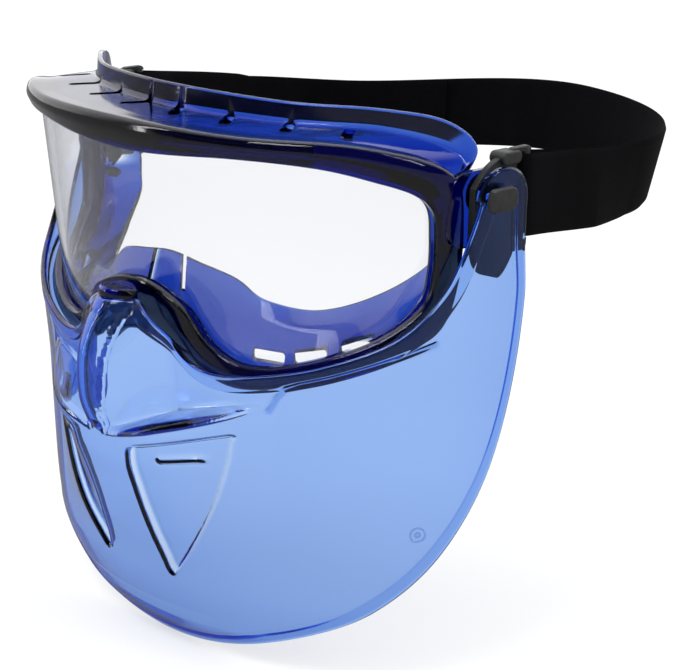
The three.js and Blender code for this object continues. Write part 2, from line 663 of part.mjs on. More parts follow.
function pair(name, solid, look) {
  return [piece(`${name}_left`, solid, look), piece(`${name}_right`, mirrored(solid), look)];
}

const group = new THREE.Group();
group.add(
  piece("goggle_frame", goggleFrame(), materials.vinyl),
  piece("lens", lens(), materials.lens),
  piece("upper_vent_baffle", upperVentBaffle(), materials.vinyl),
  piece("face_shield", faceShield(), materials.shield),
  ...pair("pivot_pin", pivotPin(), materials.clip),
  ...pair("pivot_retainer", pivotRetainer(), materials.clip),
  ...pair("strap_clip", strapClip(), materials.clip),
  piece("headband", headband(), materials.webbing),
);

// Row origin: middle of the bounding box in plan, lowest point on z = 0.
const bounds = new THREE.Box3().setFromObject(group, true);
const centre = bounds.getCenter(new THREE.Vector3());
group.position.set(-centre.x, -centre.y, -bounds.min.z);

export default group;
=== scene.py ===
"""Looks of a splash goggle with a flip-up face shield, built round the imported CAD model.

Every piece is drawn in millimetres about the hinge line of the shield, with +Z up, the wearer
looking along -Y and the wearer's left at +X, and is then placed in metres in the row's frame.
"""
import json
import math

import bmesh
import bpy
import numpy as np
from mathutils import Matrix, Vector


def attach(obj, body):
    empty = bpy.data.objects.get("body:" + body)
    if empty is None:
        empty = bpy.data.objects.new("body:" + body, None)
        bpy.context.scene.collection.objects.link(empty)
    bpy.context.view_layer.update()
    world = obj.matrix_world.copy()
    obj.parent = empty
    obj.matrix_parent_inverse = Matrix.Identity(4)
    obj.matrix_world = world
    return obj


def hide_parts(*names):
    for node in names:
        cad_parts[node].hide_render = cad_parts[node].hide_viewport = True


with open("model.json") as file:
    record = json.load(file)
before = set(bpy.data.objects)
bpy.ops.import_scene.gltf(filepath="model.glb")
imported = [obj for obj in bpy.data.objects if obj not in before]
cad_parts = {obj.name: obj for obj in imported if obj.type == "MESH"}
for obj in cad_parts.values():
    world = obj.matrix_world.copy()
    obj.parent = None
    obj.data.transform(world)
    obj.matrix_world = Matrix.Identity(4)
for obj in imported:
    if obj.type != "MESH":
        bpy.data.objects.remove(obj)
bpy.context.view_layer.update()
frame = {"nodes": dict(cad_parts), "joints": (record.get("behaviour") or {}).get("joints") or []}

HINGE = Vector(frame["joints"][0]["pos_m"])
MM = 0.001

# ------------------------------------------------------------------ driving dimensions (mm)
RIM_HALF_WIDTH = 88
RIM_FORWARD = 72
RIM_TOP_Z = 19
RIM_PLAN_POWER = 2.2
RIM_WIDTH_TAPER = 0.0006
RIM_FORWARD_TAPER = 0.0023
RIM_BULGE = 0.9
RIM_DEPTH = 7.6
WALL = 2.2
FLANGE_THICKNESS = 1.8
LENS_THICKNESS = 2
LENS_SEAT_DEPTH = 3.0
LENS_SEAT_WIDTH = 2.8
LENS_EDGE_IN_SEAT = 1.8
SEAT_HEIGHT = 2.2
LEDGE_VENTS = {
    "slots": (9, 27.5, 46, 62), "size": (3.5, 10.5, 12), "front": -54, "bow": 0.00507, "z": 20, "turn": 0.62,
}
CHEEK_VENT = {"width": 10.4, "height": 3.4, "depth": 8.6, "turn": 0.57}
CHEEK_VENT_SPOTS = (((41.5, -44, -51.7), 0), ((52.5, -37, -50.2), 0.2), ((64, -29.5, -46.4), 0.34))
NOSE_SLIT = {"size": (1.5, 24, 20), "centre": (5.3, -45, -27.5), "turn": 0.65}

SHIELD_BACK_Y = 10
SHIELD_THICKNESS = 1.6
SHIELD_BOTTOM_Z = -155.5
SHIELD_HALF_WIDTH = (
    (-155, 70), (-130, 92.5), (-110, 96), (-80, 97.3), (-30, 96.6), (-12, 94.7), (12, 94.4),
)
SHIELD_FORWARD = ((-156, 45), (-145, 54), (-130, 58), (-110, 59), (-80, 61), (-40, 67), (10, 67.5))
MUZZLE_HEIGHT = ((-141, 0), (-127, 2), (-112, 7), (-97, 12), (-86, 15.5), (-76, 16.5))
MUZZLE_HALF_ANGLE = 34
MUZZLE_FLANK = 26
MUZZLE_LEDGE = 4
RIDGE_HEIGHT = ((-78, 14.5), (-70, 16), (-62, 14.9), (-54, 12.6), (-46, 7.9), (-37, 0))
RIDGE_FLANK = 15
TUBE_RADIUS = ((-78, 3), (-74, 3.2), (-66, 4.2), (-50, 5.3), (-38, 6.8))
TUBE_FOOT_Z = -80
EAR_RADIUS = 9.7
SHIELD_TOP_EDGE = (
    (0, -37), (5, -37.5), (11, -46), (14.5, -52.3), (17.5, -55.2), (22, -56.2), (31, -54),
    (42, -49.6), (58, -39.7), (66.5, -28.3), (71.5, -18), (75, -6.5), (76.5, 0),
)
EAR_SHARE = 0.12
ANGLE_STRETCH = 1.4
CHIN_ANGLE_POWER = 0.98
CHIN_HEIGHT_POWER = 0.82

WING = (84.2, 86.6)
CLIP = (86.9, 89.2)
PIN_HEAD = (95.2, 97.9)
PIN_RADIUS = 2.9
PIN_TIP_X = 81.6
PIN_HOLE_RADIUS = 3.2
OVERCUT = 1

STRAP_WIDTH = 25.4
STRAP_THICKNESS = 1.6
STRAP_HALF_WIDTH = 90.6
STRAP_STRAIGHT_END_Y = 72
STRAP_BACK_DEPTH = 58
STRAP_SIDE_Z = -1.3
STRAP_HEIGHT = (
    (0, STRAP_SIDE_Z), (0.9, -4.5), (1.4, -1.6), (1.8, -11.5), (2.1, -7.5), (3, STRAP_SIDE_Z),
)
STRAP_LEAN = ((0.6, 0), (1.1, 5), (1.6, 0))
STRAP_BAR_Y = 15
STRAP_BAR_RADIUS = 1.7
STRAP_BAR_HALF_LENGTH = 14.2
STRAP_LAYER_GAP = 0.4


# ------------------------------------------------------------------ curves and numbers
def value_at(x, points):
    """Smooth curve through (x, y) points that never overshoots them, held flat past its ends."""
    px, py = np.array(points, float).T
    rise = np.diff(py) / np.diff(px)
    product = rise[:-1] * rise[1:]
    middle = np.where(product <= 0, 0, 2 * product / np.where(product > 0, rise[:-1] + rise[1:], 1))
    slope = np.concatenate(([rise[0]], middle, [rise[-1]]))
    x = np.clip(np.asarray(x, float), px[0], px[-1])
    i = np.clip(np.searchsorted(px, x, side="right") - 1, 0, len(px) - 2)
    h = px[i + 1] - px[i]
    t = (x - px[i]) / h
    u = 1 - t
    ends = py[i] * (1 + 2 * t) * u * u + py[i + 1] * t * t * (3 - 2 * t)
    return ends + slope[i] * h * t * u * u - slope[i + 1] * h * t * t * u


def smooth_step(t):
    t = np.clip(t, 0, 1)
    return t * t * (3 - 2 * t)


def signed_power(value, power):
    return np.sign(value) * np.abs(value) ** power


def closed_curve(points, t):
    """Points of a closed Catmull-Rom curve at shares t of its stations."""
    points = np.array(points, float)
    count = len(points)
    place = np.asarray(t, float) * count
    i = np.floor(place).astype(int)
    w = (place - i)[:, None]
    p0, p1, p2, p3 = (points[(i + k) % count] for k in (-1, 0, 1, 2))
    m1, m2 = (p2 - p0) / 2, (p3 - p1) / 2
    a = 2 * p1 - 2 * p2 + m1 + m2
    b = -3 * p1 + 3 * p2 - 2 * m1 - m2
    return ((a * w + b) * w + m1) * w + p1


def centripetal_curve(points, per_span=60):
    """Dense points of an open centripetal Catmull-Rom curve."""
    points = [np.array(p, float) for p in points]
    points = [2 * points[0] - points[1], *points, 2 * points[-1] - points[-2]]
    dense = []
    for p0, p1, p2, p3 in zip(points, points[1:], points[2:], points[3:]):
        d0, d1, d2 = (math.sqrt(np.linalg.norm(b - a)) for a, b in ((p0, p1), (p1, p2), (p2, p3)))
        m1 = ((p1 - p0) / d0 - (p2 - p0) / (d0 + d1) + (p2 - p1) / d1) * d1
        m2 = ((p2 - p1) / d1 - (p3 - p1) / (d1 + d2) + (p3 - p2) / d2) * d1
        for w in np.arange(per_span) / per_span:
            a = 2 * p1 - 2 * p2 + m1 + m2
            b = -3 * p1 + 3 * p2 - 2 * m1 - m2
            dense.append(((a * w + b) * w + m1) * w + p1)
    dense.append(points[-2])
    return np.array(dense)


def even_points(dense, shares):
    """Points at shares of a polyline's length."""
    steps = np.linalg.norm(np.diff(dense, axis=0), axis=1)
    length = np.concatenate(([0], np.cumsum(steps)))
    at = np.asarray(shares, float) * length[-1]
    return np.stack([np.interp(at, length, dense[:, k]) for k in range(dense.shape[1])], axis=-1)


def unit(v):
    return v / np.maximum(np.linalg.norm(v, axis=-1, keepdims=True), 1e-12)


def path_outline(start, pieces, steps=8):
    """Outline from straight lines (one point) and quadratic curves (two points)."""
    points = [np.array(start, float)]
    for piece in pieces:
        here = points[-1]
        if len(piece) == 1:
            points.append(np.array(piece[0], float))
            continue
        bend, end = (np.array(p, float) for p in piece)
        for k in range(1, steps + 1):
            w = k / steps
            points.append(here * (1 - w) ** 2 + bend * 2 * w * (1 - w) + end * w * w)
    return points


# ------------------------------------------------------------------ meshes
def new_object(name, vertices, faces):
    """Mesh object from points in mm about the hinge."""
    mesh = bpy.data.meshes.new(name)
    placed = np.asarray(vertices, float).reshape(-1, 3) * MM + np.array(HINGE)
    mesh.from_pydata(placed.tolist(), [], [list(map(int, face)) for face in faces])
    mesh.validate()
    obj = bpy.data.objects.new(name, mesh)
    bpy.context.scene.collection.objects.link(obj)
    face_outwards(obj)
    return obj


def face_outwards(obj):
    work = bmesh.new()
    work.from_mesh(obj.data)
    bmesh.ops.remove_doubles(work, verts=work.verts, dist=1e-6)
    bmesh.ops.recalc_face_normals(work, faces=work.faces)
    if work.calc_volume(signed=True) < 0:
        bmesh.ops.reverse_faces(work, faces=work.faces)
    work.to_mesh(obj.data)
    work.free()


def sweep_faces(rings, size, closed):
    """Quads between rings of points, and end caps on an open sweep."""
    faces = []
    for i in range(rings if closed else rings - 1):
        here, there = i * size, ((i + 1) % rings) * size
        for j in range(size):
            k = (j + 1) % size
            faces.append((here + j, there + j, there + k, here + k))
    if not closed:
        faces.append(tuple(reversed(range(size))))
        faces.append(tuple(range((rings - 1) * size, rings * size)))
    return faces


def sheet_faces(columns, rows):
    """Quads of a closed sheet: an outer grid, an inner grid and the strip between their edges."""
    count = columns * rows

    def at(i, j, side):
        return side * count + i * rows + j

    faces = []
    for i in range(columns - 1):
        for j in range(rows - 1):
            faces.append((at(i, j, 0), at(i + 1, j, 0), at(i + 1, j + 1, 0), at(i, j + 1, 0)))
            faces.append((at(i, j, 1), at(i, j + 1, 1), at(i + 1, j + 1, 1), at(i + 1, j, 1)))
        faces.append((at(i, 0, 1), at(i + 1, 0, 1), at(i + 1, 0, 0), at(i, 0, 0)))
        last = rows - 1
        faces.append((at(i, last, 0), at(i + 1, last, 0), at(i + 1, last, 1), at(i, last, 1)))
    for i in (0, columns - 1):
        for j in range(rows - 1):
            faces.append((at(i, j, 0), at(i, j + 1, 0), at(i, j + 1, 1), at(i, j, 1)))
    return faces


def rounded_ring(corners, radii, arc_points=4):
    """Ring of points with each corner of a closed section replaced by a short arc."""
    ring = []
    count = len(corners)
    for i in range(count):
        before, corner, after = corners[i - 1], corners[i], corners[(i + 1) % count]
        back, ahead = before - corner, after - corner
        radius = min(radii[i], 0.45 * np.linalg.norm(back), 0.45 * np.linalg.norm(ahead))
        start, end = corner + unit(back) * radius, corner + unit(ahead) * radius
        for k in range(arc_points):
            w = k / (arc_points - 1)
            ring.append(start * (1 - w) ** 2 + corner * 2 * w * (1 - w) + end * w * w)
    return ring


def rounded_rectangle(y_min, y_max, z_min, z_max, radius, arc_points=7):
    """Outline points of a rectangle with round corners."""
    points = []
    centres = (
        (y_max - radius, z_max - radius, 0), (y_min + radius, z_max - radius, 90),
        (y_min + radius, z_min + radius, 180), (y_max - radius, z_min + radius, 270),
    )
    for cy, cz, start in centres:
        for k in range(arc_points):
            turn = math.radians(start + 90 * k / (arc_points - 1))
            points.append((cy + radius * math.cos(turn), cz + radius * math.sin(turn)))
    return points


def plate(name, outline, x_from, x_to, edge=0.0):
    """Plate across X from an outline of (y, z), with edges rounded by a chamfered lip of size edge."""
    outline = np.array(outline, float)
    middle = outline.mean(axis=0)
    inward = unit(middle - outline)
    levels = [(x_from, edge), (x_from + edge * 0.3, edge * 0.3), (x_from + edge, 0)]
    levels += [(x_to - edge, 0), (x_to - edge * 0.3, edge * 0.3), (x_to, edge)]
    if edge == 0:
        levels = [(x_from, 0), (x_to, 0)]
    rings = [[(x, *point) for point in outline + inward * inset] for x, inset in levels]
    return new_object(name, np.array(rings), sweep_faces(len(levels), len(outline), False))


def box_cutter(size, centre, turn=0.0, radius=None):
    """Upright rounded box, turned about Z."""
    x, y, z = size
    radius = min(size) * 0.3 if radius is None else radius
    outline = np.array(rounded_rectangle(-x / 2, x / 2, -y / 2, y / 2, radius))
    cos, sin = math.cos(turn), math.sin(turn)
    turned = outline @ np.array([[cos, sin], [-sin, cos]])
    rings = [
        [(px + centre[0], py + centre[1], centre[2] + side * z / 2) for px, py in turned]
        for side in (-1, 1)
    ]
    return new_object("cutter", np.array(rings), sweep_faces(2, len(outline), False))


def bar_along_x(radius, x_from, x_to, y=0, z=0, sides=40):
    turns = np.arange(sides) * 2 * math.pi / sides
    outline = [(y + radius * math.cos(t), z + radius * math.sin(t)) for t in turns]
    return plate("bar", outline, x_from, x_to)


def mirrored(obj, name=None):
    """Copy of an object on the wearer's other side."""
    copy = obj.copy()
    copy.data = obj.data.copy()
    if name:
        copy.name = copy.data.name = name
    bpy.context.scene.collection.objects.link(copy)
    copy.data.transform(Matrix.Scale(-1, 4, (1, 0, 0)))
    copy.data.flip_normals()
    return copy


def joined(objects):
    """One object from several that don't touch."""
    work = bmesh.new()
    for obj in objects:
        work.from_mesh(obj.data)
    work.to_mesh(objects[0].data)
    work.free()
    for obj in objects[1:]:
        bpy.data.objects.remove(obj)
    return objects[0]


def combine(obj, other, operation):
    """Cuts other from obj, or adds it, and removes other."""
    modifier = obj.modifiers.new("combine", "BOOLEAN")
    modifier.operation = operation
    modifier.solver = "MANIFOLD"
    modifier.object = other
    apply_modifiers(obj)
    bpy.data.objects.remove(other)
    return obj


def apply_modifiers(obj):
    depsgraph = bpy.context.evaluated_depsgraph_get()
    made = bpy.data.meshes.new_from_object(obj.evaluated_get(depsgraph))
    obj.modifiers.clear()
    obj.data = made


def smooth_shade(obj, angle=35):
    """Smooth shading whose normals follow the large faces, so that flat walls refract as flat walls."""
    for polygon in obj.data.polygons:
        polygon.use_smooth = True
    obj.data.set_sharp_from_angle(angle=math.radians(angle))
    weighted = obj.modifiers.new("flat_walls", "WEIGHTED_NORMAL")
    weighted.weight = 90
    weighted.keep_sharp = True


def place(obj, body, material, slot, replaces=(), angle=35):
    """Gives a finished piece its material and body, and hides the parts it replaces; the slot argument is
    not used.
    """
    smooth_shade(obj, angle)
    obj.data.materials.clear()
    obj.data.materials.append(material)
    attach(obj, body)
    if replaces:
        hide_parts(*replaces)
    return obj


# ------------------------------------------------------------------ goggle frame
def goggle_point(degrees, z, inset=0.0):
    """Point on the front of the goggle at an angle from straight ahead; inset goes towards the face."""
    below = RIM_TOP_Z - z
    half_width = RIM_HALF_WIDTH * (1 - RIM_WIDTH_TAPER * below) - inset
    forward = RIM_FORWARD * (1 - RIM_FORWARD_TAPER * below) - inset
    power = 2 / RIM_PLAN_POWER
    turn = np.radians(degrees)
    x = half_width * signed_power(np.sin(turn), power)
    y = -forward * signed_power(np.cos(turn), power)
    return np.stack(np.broadcast_arrays(x, y, np.asarray(z, float)), axis=-1)


# Stations round the left half of the frame, from above the nose to under it: rim and opening
# are (angle, z) on the front; wall is where the wall meets the face flange, lip where that ends.
FRAME_STATIONS = (
    {"rim": (0, 18.8), "opening": (0, 8.6), "wall": (0, -50, 19.5), "lip": (0, -49.5, 26.5)},
    {"rim": (27, 18.2), "opening": (27, 11.2), "wall": (40, -40.5, 19), "lip": (40, -40, 25.5)},
    {"rim": (50, 18), "opening": (46, 10.4), "wall": (63, -24, 18.6), "lip": (64, -23, 24.8)},
    {"rim": (66, 15), "opening": (60, 6.5), "wall": (76, -10.8, 15), "lip": (77.5, -9.2, 21.8)},
    {"rim": (77, 10.5), "opening": (70, 2.2), "wall": (82.8, -5.5, 9.8), "lip": (84, -2, 14)},
    {"rim": (82.5, 4), "opening": (75.3, -3.5), "wall": (83.2, -8.5, 2), "lip": (79.5, -3, 2.5)},
    {"rim": (84, -9), "opening": (76.5, -12), "wall": (82.6, -8.5, -10), "lip": (71, 1, -10)},
    {"rim": (83.5, -24), "opening": (76.5, -22.5), "wall": (79, -7, -22.5), "lip": (68.5, 0.5, -21)},
    {"rim": (79, -40), "opening": (74, -32), "wall": (71.5, -9, -32), "lip": (66, -2, -27)},
    {"rim": (65, -48), "opening": (62, -41.5), "wall": (61, -20, -40.5), "lip": (58, -13.7, -34.7)},
    {"rim": (42, -56.5), "opening": (41, -50.5), "wall": (50, -34, -44), "lip": (46.6, -28, -39.8)},
    {"rim": (26, -61), "opening": (27, -53.6), "wall": (37, -40.5, -43.6), "lip": (34, -37.5, -37)},
    {"rim": (16.5, -58.5), "opening": (18, -49), "wall": (24.8, -44, -43.7), "lip": (25, -41.5, -31)},
    {"rim": (9, -53.5), "opening": (11, -38), "wall": (11.5, -46.5, -43), "lip": (12, -44.5, -28)},
    {"rim": (0, -50), "opening": (0, -32.3), "wall": (0, -47, -41), "lip": (0, -45, -26.5)},
)


def station_points(key, t):
    """Points of one property of the stations at shares t of the whole loop."""
    left = [station[key] for station in FRAME_STATIONS]
    right = [(-first, *rest) for first, *rest in reversed(left[1:-1])]
    return closed_curve(left + right, np.asarray(t) % 1)


def front_surface(spots, inset):
    return goggle_point(spots[:, 0], spots[:, 1], inset)


def rim_spots(t, distance):
    """(angle, z) a given distance from the opening towards the outside of the rim."""
    opening, rim = station_points("opening", t), station_points("rim", t)
    width = np.linalg.norm(front_surface(opening, 0) - front_surface(rim, 0), axis=1)
    share = np.broadcast_to(distance if np.isscalar(distance) else distance(width), width.shape) / width
    return opening + (rim - opening) * share[:, None]


def rim_rear_inset(rim):
    """Depth of the rim's rear corner: greater under the cheeks, where the wall rises behind it."""
    under_cheek = smooth_step((72 - np.abs(rim[:, 0])) / 15) * smooth_step(-rim[:, 1] / 30)
    return RIM_DEPTH * 0.7 + 3.0 * under_cheek


def cheek_rise(opening):
    """How much higher the wall starts behind the lens along the lower half of the opening."""
    return 2.4 * smooth_step(-opening[:, 1] / 25)


def frame_sections(t):
    """The 15 corners of the frame's section at every station."""
    step = 0.25 / 84
    rim, opening = station_points("rim", t), station_points("opening", t)
    wall, lip = station_points("wall", t), station_points("lip", t)
    rim_rear = goggle_point(rim[:, 0], rim[:, 1], rim_rear_inset(rim))
    travel = unit(station_points("wall", t + step) - station_points("wall", t - step))
    forward = unit(rim_rear - wall)
    outward = unit(np.cross(forward, travel))
    flange_side = unit(np.cross(unit(lip - wall), travel))
    lean = FLANGE_THICKNESS * np.sum(flange_side * forward, axis=1, keepdims=True)
    inner = wall - outward * WALL + forward * lean
    below_top = rim - np.stack([np.zeros(len(t)), 0.12 * (rim[:, 1] - opening[:, 1])], axis=1)
    seat_back = LENS_SEAT_DEPTH + LENS_SEAT_WIDTH
    corners = (
        front_surface(rim, 1.2),
        front_surface(below_top, 0),
        front_surface(rim + (opening - rim) * 0.45, -RIM_BULGE),
        front_surface(opening, 0.6),
        front_surface(opening, LENS_SEAT_DEPTH),
        front_surface(rim_spots(t, SEAT_HEIGHT), LENS_SEAT_DEPTH),
        front_surface(rim_spots(t, SEAT_HEIGHT), seat_back),
        front_surface(rim_spots(t, 0.3), seat_back),
        front_surface(rim_spots(t, 0.9), RIM_DEPTH),
        front_surface(rim_spots(t, lambda width: width - WALL - cheek_rise(opening)), RIM_DEPTH + 0.3),
        inner,
        lip + flange_side * FLANGE_THICKNESS,
        lip,
        wall,
        rim_rear,
    )
    return np.stack(corners, axis=1)


SECTION_RADII = (1.2, 1.5, 4.0, 1.0, 0.3, 0.3, 0.3, 0.3, 0.5, 1.6, 2.0, 0.8, 0.8, 1.8, 1.8)


def ledge_vents(slots, size, front, bow, z, turn):
    """Cutters of the upright slots that run aslant across the ledge of the left half."""
    return [box_cutter(size, (x, front + bow * x * x, z), turn, size[0] * 0.48) for x in slots]


def cheek_vents(width, height, depth, turn):
    """Cutters of the level slots low in the wall beside the left cheek."""
    cutters = []
    for centre, rise in CHEEK_VENT_SPOTS:
        cutter = box_cutter((width, height, depth), (0, 0, 0), rise, height * 0.3)
        move = Matrix.Rotation(turn, 4, "Z") @ Matrix.Rotation(math.pi / 2, 4, "X")
        about_hinge = Matrix.Translation(HINGE)
        shift = Matrix.Translation(Vector(centre) * MM)
        cutter.data.transform(about_hinge @ shift @ move @ about_hinge.inverted())
        cutters.append(cutter)
    return cutters


def frame_wing():
    tab = plate("wing", rounded_rectangle(-16, 7.5, -15, 8, 6), *WING, edge=0.4)
    hole = bar_along_x(PIN_HOLE_RADIUS, WING[0] - OVERCUT, WING[1] + OVERCUT)
    return combine(tab, hole, "DIFFERENCE")


def goggle_frame(stations=400):
    t = np.arange(stations) / stations
    rings = [rounded_ring(list(corners), SECTION_RADII) for corners in frame_sections(t)]
    size = len(rings[0])
    body = new_object("goggle_frame_soft", np.array(rings), sweep_faces(stations, size, True))
    slots = joined([*ledge_vents(**LEDGE_VENTS), *cheek_vents(**CHEEK_VENT)])
    slit = box_cutter(**NOSE_SLIT)
    combine(body, joined([slots, mirrored(slots)]), "DIFFERENCE")
    combine(body, joined([slit, mirrored(slit)]), "DIFFERENCE")
    wing = frame_wing()
    combine(body, joined([wing, mirrored(wing)]), "UNION")
    return body


def lens_sheet(columns=220, rows=30):
    inset = LENS_SEAT_DEPTH + (LENS_SEAT_WIDTH - LENS_THICKNESS) / 2
    # The side stations lie at a quarter of the loop: 7 of the 28 stations.
    side_at = 7 / (2 * (len(FRAME_STATIONS) - 1))
    s = np.arange(columns + 1) / columns
    upper = rim_spots((1 - side_at + 2 * side_at * s) % 1, LENS_EDGE_IN_SEAT)
    lower = rim_spots(1 - side_at - (1 - 2 * side_at) * s, LENS_EDGE_IN_SEAT)
    v = (np.arange(rows + 1) / rows)[None, :, None]
    spots = upper[:, None] * (1 - v) + lower[:, None] * v
    depths = (inset, inset + LENS_THICKNESS)
    layers = [goggle_point(spots[..., 0], spots[..., 1], depth) for depth in depths]
    return new_object("lens_clear", np.stack(layers), sheet_faces(columns + 1, rows + 1))


# ------------------------------------------------------------------ face shield
# Outlines below are (angle, z) on the shield: a corner each, or the bend and end of a curve.
RECESS = ((9.2, -80.8), [
    [(24.4, -74.6)], [(26.2, -73.9), (25.2, -76.5)], [(23.4, -102), (11, -126)],
    [(9.4, -128.8), (8.6, -125.6)], [(5.6, -104), (7.4, -84)], [(7.6, -81.2), (9.2, -80.8)],
])
RECESS_DEPTH = 2.4
ISLAND_EDGE = ((13.5, -85), [[(19, -83.6)], [(22, -83.4), (21.3, -87)], [(20, -100), (15.7, -111)]])
ISLAND_HEIGHT = 1.5
STEP_TOP = ((1, -78), (4.8, -75.7), (9.4, -72.2), (16.8, -67.4), (23.5, -64.5), (29.3, -64.4))
STEP_FOOT = ((1, -79.6), (8.9, -77.3), (15.3, -74.5), (20.2, -72.1), (24.7, -69.1), (29.3, -64.4))
STOP_RIB = ((31.3, -65.6), (32.7, -61.4), (34.9, -57.7), (37.8, -55.9), (43.8, -53.2), (66.1, -41.9))
BORDER_WIDTH = 4.6


def shield_surface(degrees, z):
    """Outside of the shield: half an ellipse at each height, with muzzle and nose ridge on it."""
    aside = np.abs(degrees)
    x = value_at(z, SHIELD_HALF_WIDTH) * np.sin(np.radians(degrees))
    muzzle = value_at(z, MUZZLE_HEIGHT) * smooth_step((MUZZLE_HALF_ANGLE - aside) / MUZZLE_FLANK)
    radius = value_at(z, TUBE_RADIUS)
    ridge = value_at(z, RIDGE_HEIGHT) * smooth_step(1 - (np.abs(x) - radius) / RIDGE_FLANK)
    tube = np.sqrt(np.maximum(radius**2 - x**2, 0)) * smooth_step((z - TUBE_FOOT_Z) / 5)
    below_ledge = smooth_step((muzzle_top(aside) - z) / MUZZLE_LEDGE)
    raised = ridge + (muzzle - ridge) * below_ledge + tube
    forward = value_at(z, SHIELD_FORWARD) + raised
    y = SHIELD_BACK_Y - (SHIELD_BACK_Y + forward) * np.cos(np.radians(degrees))
    return np.stack([x, y, z], axis=-1)


def muzzle_top(aside):
    return -76 + 0.5 * np.maximum(aside - 2, 0)


def shield_normal(degrees, z, d=0.2):
    across = shield_surface(degrees + d, z) - shield_surface(degrees - d, z)
    up = shield_surface(degrees, z + d) - shield_surface(degrees, z - d)
    return unit(np.cross(across, up))


def angle_of_y(y):
    reach = SHIELD_BACK_Y + SHIELD_FORWARD[-1][1]
    return np.degrees(np.arccos((SHIELD_BACK_Y - y) / reach))


def shield_top_edge(s):
    stretched = [(angle * ANGLE_STRETCH, z) for angle, z in SHIELD_TOP_EDGE]
    spots = even_points(centripetal_curve(stretched), np.clip(s / (1 - EAR_SHARE), 0, 1))
    turn = math.pi - (s - 1 + EAR_SHARE) / EAR_SHARE * math.pi / 2
    on_ear = s > 1 - EAR_SHARE
    degrees = np.where(on_ear, angle_of_y(EAR_RADIUS * np.cos(turn)), spots[:, 0] / ANGLE_STRETCH)
    return degrees, np.where(on_ear, EAR_RADIUS * np.sin(turn), spots[:, 1])


def shield_free_edge(s):
    on_ear = s > 1 - EAR_SHARE
    quarter = np.clip(s / (1 - EAR_SHARE), 0, 1) * math.pi / 2
    turn = np.clip((s - 1 + EAR_SHARE) / EAR_SHARE, 0, 1) * math.pi / 2
    body_angle = angle_of_y(EAR_RADIUS) * np.sin(quarter) ** CHIN_ANGLE_POWER
    body_z = SHIELD_BOTTOM_Z * np.maximum(np.cos(quarter), 0) ** CHIN_HEIGHT_POWER
    ear_angle = angle_of_y(EAR_RADIUS * np.cos(turn))
    return np.where(on_ear, ear_angle, body_angle), np.where(on_ear, EAR_RADIUS * np.sin(turn), body_z)


def flat_mm(degrees, z):
    """Place on the shield in mm: round from the middle of the face, and up."""
    return np.stack([np.abs(degrees) * ANGLE_STRETCH, z], axis=-1)


def distance_to_path(place_mm, path):
    best = np.full(place_mm.shape[:-1], 1e9)
    for start, end in zip(path, path[1:]):
        a, b = flat_mm(*map(np.array, start)), flat_mm(*map(np.array, end))
        share = np.clip((place_mm - a) @ (b - a) / ((b - a) @ (b - a)), 0, 1)
        best = np.minimum(best, np.linalg.norm(place_mm - a - share[..., None] * (b - a), axis=-1))
    return best


def depth_inside(place_mm, outline):
    """Distance to a closed outline, positive inside it and negative outside."""
    distance = distance_to_path(place_mm, outline)
    spots = [flat_mm(*spot) for spot in outline]
    across, up = place_mm[..., 0], place_mm[..., 1]
    inside = np.zeros(across.shape, bool)
    for (x0, y0), (x1, y1) in zip(spots, spots[1:] + spots[:1]):
        crosses = (y0 > up) != (y1 > up)
        if y0 != y1:
            inside ^= crosses & (across < x0 + (up - y0) / (y1 - y0) * (x1 - x0))
    return np.where(inside, distance, -distance)


def pressed_relief(degrees, z):
    """Shapes pressed through the whole thickness: the cheek recesses and the step under the nose."""
    spot = flat_mm(degrees, z)
    aside = np.abs(degrees)
    depth = depth_inside(spot, path_outline(*RECESS))
    recess = -RECESS_DEPTH * smooth_step(depth / 1.7 + 0.3)
    from_ridge = distance_to_path(spot, path_outline(*ISLAND_EDGE))
    inner_side = smooth_step((depth - 3.2) / 4)
    island = ISLAND_HEIGHT * np.exp(-((from_ridge / 1.1) ** 2)) * inner_side
    top, foot = value_at(aside, STEP_TOP), value_at(aside, STEP_FOOT)
    step = 1.0 * smooth_step((top - z) / 2.4 + 0.2) * smooth_step((z - foot) / 2.4 + 0.2)
    step = step * smooth_step((30 - aside) / 3) * smooth_step((aside - 0.5) / 2.5)
    return recess + island + step


def edge_distance(points):
    """Distance of each grid point from the nearest edge of the shield."""
    steps = np.linalg.norm(np.diff(points, axis=1), axis=2)
    from_top = np.concatenate([np.zeros((len(points), 1)), np.cumsum(steps, axis=1)], axis=1)
    near = np.minimum(from_top, from_top[:, -1:] - from_top)
    from_hinge = np.hypot(points[..., 1], points[..., 2])
    return np.where(points[..., 2] > 0, np.minimum(near, np.abs(EAR_RADIUS - from_hinge)), near)


def keyhole_cutter():
    hole = bar_along_x(PIN_HOLE_RADIUS, CLIP[1], PIN_HEAD[0] + OVERCUT)
    slot = plate("slot", rounded_rectangle(-6.2, 0, -2.4, 2.4, 1), CLIP[1], PIN_HEAD[0] + OVERCUT)
    return combine(hole, slot, "UNION")


